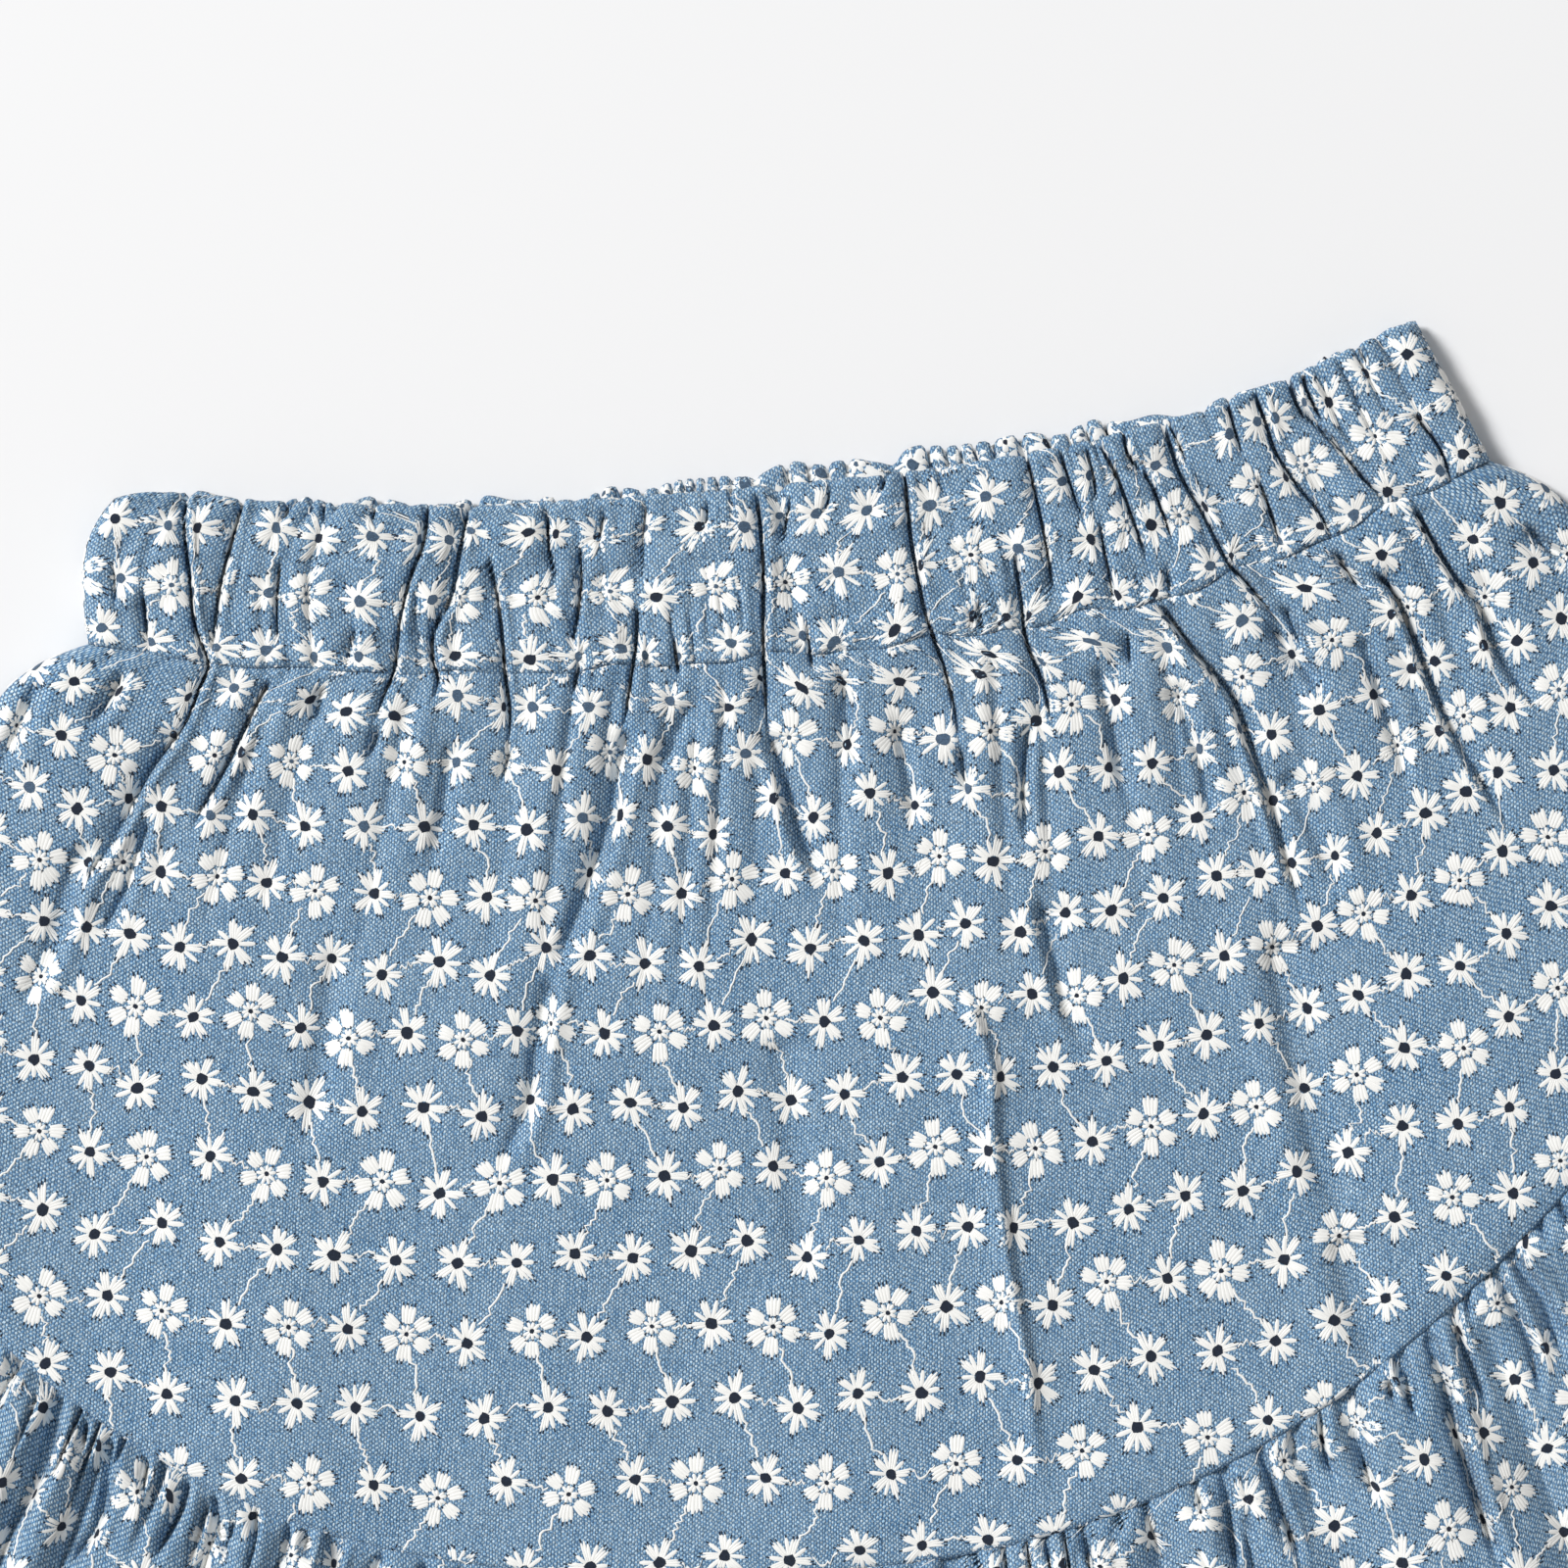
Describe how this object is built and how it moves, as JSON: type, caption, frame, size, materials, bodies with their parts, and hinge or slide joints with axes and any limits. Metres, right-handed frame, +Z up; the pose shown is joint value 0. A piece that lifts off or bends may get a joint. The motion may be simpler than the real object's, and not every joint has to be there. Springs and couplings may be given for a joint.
{
  "type": "tiered skirt",
  "caption": "Short tiered skirt laid flat: gathered elastic waistband, flared upper tier with a curved lower seam, and a gathered ruffle.",
  "frame": {"origin": "on the table, under the middle of the laid-out skirt's box", "axes": "+X to the skirt's right side as seen from above, +Y towards the waistband, +Z up from the table through the back panels to the front ones"},
  "size_m": [0.534, 0.388, 0.0101],
  "materials": {
    "embroidered_cloth": "matt plain-weave blue cotton",
    "embroidery_thread": "soft cream embroidery thread"
  },
  "bodies": {
    "root": {"waistband": "embroidered_cloth", "upper_front": "embroidered_cloth", "upper_back": "embroidered_cloth", "ruffle_front": "embroidered_cloth", "ruffle_back": "embroidered_cloth"}
  },
  "joints": []
}
